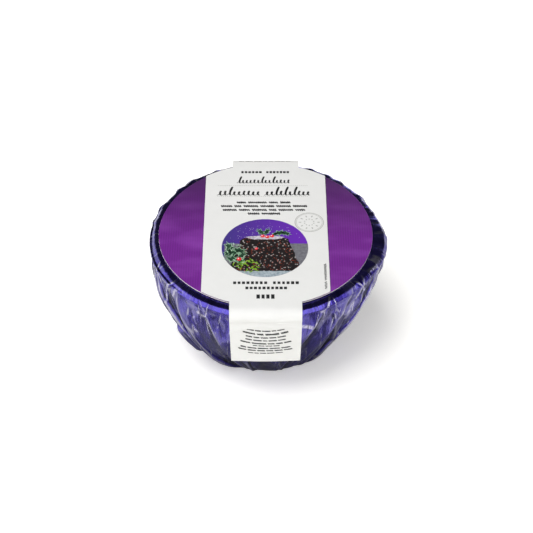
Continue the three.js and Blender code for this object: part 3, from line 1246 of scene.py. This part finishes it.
@dataclass
class LabelText:
    """The rows of print, as plain marks where the words would be."""

    press: Press
    rows: Sequence[PrintedRow] = (
        PrintedRow(Row.SCRIBBLE, 60.6, -15.0, 14.0, 1.1, weight=1.3),
        PrintedRow(Row.BLOCKS, 50.2, -14.0, 13.4, 1.9),
        PrintedRow(Row.FLOURISH, 42.3, -15.6, 13.8, 5.7),
        PrintedRow(Row.DOTS, 38.3, -26.6, 23.0, 0.5),
        PrintedRow(Row.FLOURISH, 32.2, -26.3, 24.9, 7.2, weight=1.15),
        PrintedRow(Row.DOTS, 29.0, -26.6, 23.0, 0.5),
        PrintedRow(Row.SCRIBBLE, 23.8, -15.9, 13.6, 1.9, weight=1.85),
        PrintedRow(Row.SCRIBBLE, 20.7, -24.5, 22.7, 1.9, weight=1.85),
        PrintedRow(Row.SCRIBBLE, 17.5, -23.4, 21.6, 1.9, weight=1.85),
        PrintedRow(Row.SCRIBBLE, 14.4, -9.7, 7.9, 1.9, weight=1.85),
        PrintedRow(Row.BLOCKS, -40.5, -17.2, 17.5, 2.1),
        PrintedRow(Row.BLOCKS, -44.4, -10.8, 11.3, 2.1),
        PrintedRow(Row.BLOCKS, -50.8, -5.1, 4.9, 3.3, weight=1.5),
    )
    strap_rows: Sequence[PrintedRow] = (
        PrintedRow(Row.SCRIBBLE, -73.4, -9.6, 9.6, 1.0, weight=1.5),
        PrintedRow(Row.SCRIBBLE, -76.1, -11.8, 11.6, 1.5, weight=2),
        PrintedRow(Row.SCRIBBLE, -78.9, -10.2, 10.3, 1.1, weight=1.7),
        PrintedRow(Row.SCRIBBLE, -81.6, -10.4, 10.2, 1.1, weight=1.9),
        PrintedRow(Row.SCRIBBLE, -84.5, -13.0, 13.2, 1.3, weight=2.0),
        PrintedRow(Row.SCRIBBLE, -86.8, -6.6, 7.2, 1.0, weight=1.6),
        PrintedRow(Row.SCRIBBLE, -89.4, -13.0, 12.8, 1.3, weight=2.2),
        PrintedRow(Row.SCRIBBLE, -91.9, -14.2, 13.8, 1.3, weight=2.2),
        PrintedRow(Row.SCRIBBLE, -94.6, -9.2, 8.9, 1.0, weight=1.6),
    )
    strap_sag: float = 0.018  # the strap's rows hang in the middle like a smile, by this for each mm squared
    strap_tilt: float = -0.02

    def words(self, row: PrintedRow, rng: np.random.Generator, mean: float, gap: float) -> list[tuple[float, float]]:
        """Divides a row into words of uneven length.

        Args:
            row: The row.
            rng: Source of the uneven lengths.
            mean: Mean length of a word.
            gap: The space between two words.

        Returns:
            The start and end of each word.
        """
        count = max(1, round((row.right - row.left + gap) / (mean + gap)))
        shares = rng.uniform(0.6, 1.5, count)
        lengths = shares / shares.sum() * (row.right - row.left - gap * (count - 1))
        starts = row.left + np.concatenate([[0], np.cumsum(lengths + gap)])[:-1]
        return [(float(s), float(s + n)) for s, n in zip(starts, lengths)]

    def bent(self, row: PrintedRow, line: np.ndarray) -> np.ndarray:
        """Bends a strap's row into its smile and leaves a panel's row straight."""
        if row.y > -60:
            return line
        return line + np.column_stack([0 * line[:, 0], self.strap_sag * line[:, 0] ** 2 + self.strap_tilt * line[:, 0]])

    def blocks(self, row: PrintedRow, rng: np.random.Generator) -> None:
        """Prints a row of upright blocks."""
        pitch = row.height * 1.05 / (0.75 * row.weight + 0.25)
        for start, end in self.words(row, rng, pitch * 8, pitch):
            count = max(1, round((end - start) / pitch))
            for i in range(count):
                x = mix(start, end, (i + 0.5) / count)
                width = pitch * rng.uniform(0.6, 0.78)
                height = row.height * rng.uniform(0.88, 1.0)
                line = np.array([(x, row.y - height / 2), (x, row.y + height / 2)])
                self.press.strip(line, width, row.ink)

    def flourish(self, row: PrintedRow, rng: np.random.Generator) -> None:
        """Prints looping pen strokes, thick on the way down and thin on the way up."""
        for start, end in self.words(row, rng, row.height * 3.6, row.height * 0.35):
            loops = max(3, round((end - start) / (row.height * 0.36)))
            phase = np.linspace(0, loops, loops * 14 + 1)
            tall = np.repeat(rng.choice([0.42, 0.42, 0.5, 1.0], loops + 1), 14)[: phase.size]
            tall = np.convolve(np.pad(tall, 5, mode="edge"), np.ones(11) / 11, "valid")
            x = mix(start, end, phase / loops) + row.height * 0.11 * np.sin(TURN * phase)
            y = row.y - row.height * 0.3 + row.height * tall * 0.5 * (1 - np.cos(TURN * phase))
            line = np.column_stack([x + 0.3 * (y - row.y), y])
            downward = np.clip(-np.gradient(y) / np.maximum(np.hypot(np.gradient(x), np.gradient(y)), 1e-9), 0, 1)
            self.press.strip(line, row.weight * mix(0.34, 1.0, downward), row.ink)

    def scribble(self, row: PrintedRow, rng: np.random.Generator) -> None:
        """Prints fine wavering strokes, one for each word."""
        for start, end in self.words(row, rng, row.height * 3.4, row.height * 0.62):
            waves = max(2, round((end - start) / (row.height * 0.52)))
            phase = np.linspace(0, waves, waves * 6 + 1)
            tall = np.interp(phase, np.arange(waves + 1), rng.uniform(0.3, 0.55, waves + 1))
            y = row.y + row.height * tall * np.sin(TURN * phase)
            line = np.column_stack([mix(start, end, phase / waves) + 0.25 * (y - row.y), y])
            self.press.strip(self.bent(row, line), 0.27 * row.weight, row.ink)

    def dots(self, row: PrintedRow) -> None:
        """Prints a dotted rule."""
        pitch = 1.05
        for x in np.arange(row.left, row.right, pitch):
            line = np.array([(x, row.y), (x + row.height, row.y)])
            self.press.strip(line, row.height * 0.7, Ink.GREY)

    def build(self) -> bpy.types.Object:
        """Prints all rows, and the small upright row at the panel's side."""
        rng = np.random.default_rng(11)
        for row in (*self.rows, *self.strap_rows):
            if row.kind is Row.BLOCKS:
                self.blocks(row, rng)
            elif row.kind is Row.FLOURISH:
                self.flourish(row, rng)
            elif row.kind is Row.SCRIBBLE:
                self.scribble(row, rng)
            else:
                self.dots(row)
        self.side_note(rng)
        self.seal()
        return self.press.pull("label_text_marks")

    def side_note(self, rng: np.random.Generator) -> None:
        """Prints two short words that run up the panel's right edge."""
        for low, high in ((-45.0, -39.6), (-38.6, -26.0)):
            waves = round(high - low)
            phase = np.linspace(0, waves, waves * 6 + 1)
            tall = np.interp(phase, np.arange(waves + 1), rng.uniform(0.45, 0.85, waves + 1))
            line = np.column_stack([31.2 - tall * np.sin(TURN * phase), mix(low, high, phase / waves)])
            self.press.strip(line, 0.28, Ink.BLACK)

    def seal(self) -> None:
        """Prints a pale round seal: two rings and a garland of small shapes."""
        middle = (23.6, 7.2)
        self.press.ring(middle, 7.7, 0.4, Ink.GREY)
        self.press.ring(middle, 7.0, 0.22, Ink.GREY)
        for i in range(10):
            angle = TURN * i / 10
            place = (middle[0] + 5.0 * math.cos(angle), middle[1] + 5.0 * math.sin(angle))
            self.press.disc(place, 0.75, Ink.GREY, turn=angle, squeeze=0.5, points=12)
            inner = (middle[0] + 2.6 * math.cos(angle + 0.3), middle[1] + 2.6 * math.sin(angle + 0.3))
            self.press.disc(inner, 0.4, Ink.GREY, points=8)


@dataclass
class LabelPicture:
    """The round picture on the panel: a dark pudding on a plate under an evening sky, with holly."""

    press: Press
    middle: tuple[float, float] = (-0.4, -13.2)
    radius: float = 23.0
    horizon: float = -10.1
    plate_top: float = -30.6

    def inside(self, y: np.ndarray) -> np.ndarray:
        """Half the round picture's width at a height."""
        return np.sqrt(np.maximum(self.radius**2 - (y - self.middle[1]) ** 2, 0))

    def holly_leaf(self, middle: tuple[float, float], length: float, turn: float, ink: Ink, rim: Ink | None,
                   layer: int) -> None:
        """Prints one spined leaf, with a paler rim under it.

        Args:
            middle: The leaf's middle.
            length: Its half-length.
            turn: How far it is turned, in radians.
            ink: The leaf's ink.
            rim: The rim's ink, if it has one.
            layer: How many inks lie under it.
        """

        def reach(angle: np.ndarray) -> np.ndarray:
            spines = 7
            cusp = np.abs(np.sin(angle * spines / 2))
            return length * (1 - 0.45 * cusp**0.7)

        if rim:
            self.press.disc(middle, lambda a: reach(a) * 1.16, rim, layer, turn, 0.55, 56)
        self.press.disc(middle, reach, ink, layer + 1, turn, 0.5, 56)

    def berries(self, places: Sequence[tuple[float, float]], radius: float, layer: int) -> None:
        """Prints berries, each with its glint."""
        for x, y in places:
            self.press.disc((x, y), radius, Ink.BERRY, layer, points=20)
            self.press.disc((x - radius * 0.3, y + radius * 0.35), radius * 0.28, Ink.GLINT, layer + 1, points=10)

    def sprigs(self, rng: np.random.Generator) -> None:
        """Prints pale veins over the holly and the yellow-green sprigs that lie in front of the plate."""
        for ink, count, left, right, low, high, longest in (
            (Ink.HOLLY_EDGE, 16, -21.0, -10.5, -26.0, -9.5, 3.4),
            (Ink.SPRIG, 26, -17.5, -3.0, -32.0, -23.5, 4.6),
        ):
            for _ in range(count):
                start = np.array((rng.uniform(left, right), rng.uniform(low, high)))
                way, length = rng.uniform(0, TURN), rng.uniform(0.5, 1.0) * longest
                share = np.linspace(0, 1, 9)
                heading = way + rng.uniform(-1.2, 1.2) * share
                line = start + length * np.column_stack([np.cos(heading), np.sin(heading)]) * share[:, None]
                if np.hypot(*(line - np.array(self.middle)).T).max() < self.radius - 0.6:
                    self.press.strip(line, mix(0.75, 0.12, share), ink, 8)

    def build(self) -> bpy.types.Object:
        """Prints the picture from the back to the front."""
        press, rng = self.press, np.random.default_rng(3)
        middle_x = self.middle[0]
        bottom = self.middle[1] - self.radius
        press.disc(self.middle, self.radius, PrintedSky("Offset_print_evening_sky"), 0, points=96)
        for _ in range(110):
            angle, far = rng.uniform(0.12 * math.pi, 0.92 * math.pi), self.radius * rng.uniform(0.35, 0.96)
            place = (middle_x + far * math.cos(angle), self.middle[1] + far * math.sin(angle))
            press.disc(place, rng.uniform(0.07, 0.16), Ink.GLINT, 1, points=6)
        press.patch(
            lambda y: (middle_x - np.minimum(21.5, self.inside(y)), middle_x + self.inside(y)),
            bottom + 1.6, self.horizon, Ink.TABLE, 1
        )
        press.patch(
            lambda y: (middle_x - self.inside(y), middle_x + self.inside(y)), bottom + 0.02, self.plate_top, Ink.PLATE, 2
        )
        rough = np.interp(np.linspace(0, 1, 60), np.linspace(0, 1, 24), rng.uniform(-0.45, 0.45, 24))

        def mound(y: np.ndarray) -> tuple[np.ndarray, np.ndarray]:
            up = (y - self.plate_top) / (-5.6 - self.plate_top)
            half = mix(19.7, 12.4, np.clip(up, 0, 1) ** 0.85) * np.clip((1.015 - up) * 22, 0, 1) ** 0.12
            ragged = np.interp(up, np.linspace(0, 1, 60), rough)
            edge = self.inside(y)
            return middle_x - np.minimum(half + ragged, edge), middle_x + np.minimum(half + ragged[::-1], edge)

        press.patch(mound, self.plate_top - 1.0, -5.6, PrintedCrumb("Offset_print_fruited_crumb"), 3, rows=44)
        press.disc((middle_x, -5.3), lambda a: 9.8 + 0.6 * np.sin(5 * a) + 0.3 * np.sin(11 * a), Ink.ICING, 4,
                   squeeze=0.16, points=64)
        for place, size, turn in (((-2.6, -0.9), 3.4, 2.2), ((0.6, -0.6), 3.2, 1.1), ((7.4, -1.6), 3.8, 0.35),
                                  ((10.8, -1.9), 3.2, -0.35), ((4.9, -2.6), 2.4, 0.9)):
            self.holly_leaf(place, size, turn, Ink.HOLLY, Ink.HOLLY_EDGE, 5)
        self.berries(((-1.6, -4.2), (0.9, -4.8), (3.4, -4.2)), 1.15, 7)
        for place, size, turn in (((-19.2, -13.2), 4.6, 1.9), ((-17.2, -17.6), 4.8, 0.5), ((-20.0, -17.2), 3.6, 1.2),
                                  ((-14.0, -15.6), 4.4, -0.4), ((-17.2, -22.4), 4.6, -0.2),
                                  ((-12.6, -19.6), 3.6, 0.8), ((-12.8, -24.4), 3.6, -0.7)):
            self.holly_leaf(place, size, turn, Ink.HOLLY, Ink.HOLLY_EDGE, 5)
        self.sprigs(rng)
        self.berries(((-14.0, -22.5),), 1.3, 9)
        self.berries(((-4.9, -14.2),), 0.9, 5)
        return press.pull("label_picture_print")


# ---- The studio ---------------------------------------------------------------------------------


@dataclass
class Softbox:
    """A soft light that faces a point."""

    name: str
    place: tuple[float, float, float]
    size: tuple[float, float]
    brightness: float  # radiance of its face
    aim: tuple[float, float, float] = (0.0, 0.0, 0.04)
    in_reflections: bool = True
    on_matte: bool = True  # whether it also lights paper and floor

    def build(self) -> None:
        """Hangs the light."""
        light = bpy.data.lights.new(self.name, "AREA")
        light.shape = "RECTANGLE"
        light.size, light.size_y = self.size
        light.energy = self.brightness * math.pi * self.size[0] * self.size[1]
        lamp = bpy.data.objects.new(self.name, light)
        bpy.context.scene.collection.objects.link(lamp)
        lamp.location = self.place
        lamp.rotation_euler = (Vector(self.aim) - lamp.location).to_track_quat("-Z", "Y").to_euler()
        lamp.visible_glossy = self.in_reflections
        lamp.visible_diffuse = self.on_matte


@dataclass
class DarkFlags:
    """Dark cards laid round the pack, which only the film mirrors.

    A mirror on a white floor shows nothing but white. The flags put dark gaps between the strips of
    floor, so that each panel of the film takes a tone of its own, as it does in a real studio.
    """

    near: float = 30.0
    ring: float = 74.0  # outer radius of the ring of dark card close round the base
    far: float = 230.0
    narrow: float = 4.0  # degrees
    wide: float = 13.0
    seed: int = 4

    def wedge(self, start: float, end: float, near: float, far: float) -> bpy.types.Object:
        """Lays one flag, a sector of a ring between two angles in degrees and two radii in mm."""
        flag = primitive(bpy.ops.mesh.primitive_grid_add, "flag", x_subdivisions=4, y_subdivisions=1, size=2.0)
        flat = read_points(flag) * MM
        angle = np.radians(mix(start, end, (flat[:, 0] + 1) / 2))
        radius = mix(near, far, (flat[:, 1] + 1) / 2)
        write_points(flag, np.column_stack([radius * np.cos(angle), radius * np.sin(angle), 0 * radius + 0.3]))
        return flag

    def build(self) -> None:
        """Lays all flags."""
        rng = np.random.default_rng(self.seed)
        flags = [self.wedge(start, start + 30, self.near, self.ring) for start in range(0, 360, 30)]
        angle = 0.0
        while angle < 355:
            end = angle + rng.uniform(self.narrow, self.wide)
            flags.append(self.wedge(angle, end, self.ring, self.far))
            angle = end + rng.uniform(self.narrow, self.wide)
        cards = join(flags, "dark_flags")
        cards.data.materials.append(StudioPaper("Dark_grey_card", tone="8c8c8c").build())
        for seen_by in ("visible_camera", "visible_diffuse", "visible_shadow", "visible_transmission"):
            setattr(cards, seen_by, False)


@dataclass
class Studio:
    """The floor, the lights and the camera."""

    label_height: float
    camera_distance: float = 0.79365
    camera_elevation: float = math.radians(41.31)
    aim: tuple[float, float] = (0.00046, -0.0259)
    lens: float = 99.67
    ambient: float = 0.07

    def build(self) -> None:
        """Sets up the studio."""
        floor = primitive(bpy.ops.mesh.primitive_grid_add, "studio_floor", x_subdivisions=4, y_subdivisions=4, size=12)
        floor.data.materials.append(StudioPaper("Backlit_background_paper", glow=0.34).build())
        DarkFlags().build()
        for box in (
            Softbox("key", (-0.28, -0.15, 1.08), (0.75, 0.75), 6.5, in_reflections=False),
            Softbox("overhead_fill", (0.0, -0.6, 0.85), (1.3, 1.3), 0.95, in_reflections=False),
            Softbox("low_front_fill", (0.0, -1.3, 0.14), (1.0, 0.5), 3.2, in_reflections=False),
            Softbox("front_softbox", (0.0, -1.4, 0.66), (1.3, 0.66), 2.6, on_matte=False),
            Softbox("front_left_softbox", (-0.98, -1.05, 0.6), (0.95, 0.6), 2.5, on_matte=False),
            Softbox("left_softbox", (-1.4, -0.25, 0.36), (0.8, 0.46), 2.6),
            Softbox("left_back_softbox", (-1.25, 0.5, 0.25), (0.8, 0.4), 1.5, on_matte=False),
            Softbox("front_right_softbox", (0.98, -1.05, 0.6), (0.8, 0.6), 2.7, on_matte=False),
            Softbox("right_softbox", (1.38, -0.25, 0.33), (0.5, 0.4), 2.4, on_matte=False),
            Softbox("back_right_card", (0.36, 1.45, 0.22), (0.62, 0.34), 3.4, on_matte=False),
        ):
            box.build()
        world = bpy.data.worlds.new("studio_room")
        world.use_nodes = True
        background = world.node_tree.nodes["Background"]
        background.inputs["Color"].default_value = (self.ambient, self.ambient, self.ambient, 1)
        background.inputs["Strength"].default_value = 1.0
        bpy.context.scene.world = world
        bpy.context.scene.view_settings.view_transform = "Standard"
        self.camera()

    def camera(self) -> None:
        """Places the camera in front of the label and above it."""
        lens = bpy.data.cameras.new("camera")
        lens.lens = self.lens
        lens.clip_start = 0.01
        camera = bpy.data.objects.new("camera", lens)
        bpy.context.scene.collection.objects.link(camera)
        level = self.label_height * MM
        away = self.camera_distance
        camera.location = (
            0,
            -away * math.cos(self.camera_elevation),
            level + away * math.sin(self.camera_elevation),
        )
        target = Vector((self.aim[0], 0, level + self.aim[1]))
        camera.rotation_euler = (target - camera.location).to_track_quat("-Z", "Y").to_euler()
        bpy.context.scene.camera = camera


# ---- The pack -----------------------------------------------------------------------------------


def main() -> None:
    """Builds the pack and the studio."""
    logging.basicConfig(level=logging.INFO, format="%(name)s %(message)s")
    card_low, card_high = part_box("round_card")
    band_low, band_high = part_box("paper_band")
    outline = BasinOutline(seat=top_of("film_wrapped_basin"))
    band = PaperBand(
        outline=outline,
        card_radius=card_high.x / MM,
        top=top_of("paper_band"),
        panel_half_width=band_high.x / MM,
        reach=band_high.y / MM,
        end_height=band_low.z / MM,
    )
    hand_in(FilmWrap(outline, band.strap_half_width, band.end_height).build(), "film", "film_wrapped_basin")
    hand_in(RoundCard(card_high.x / MM, card_low.z / MM, card_high.z / MM).build(), "card", "round_card")
    hand_in(band.build(), "paper", "paper_band")
    press = Press(band)
    hand_in(LabelText(press).build(), "paper")
    hand_in(LabelPicture(press).build(), "paper")
    Studio(top_of("paper_band")).build()


if __name__ == "__main__":
    main()
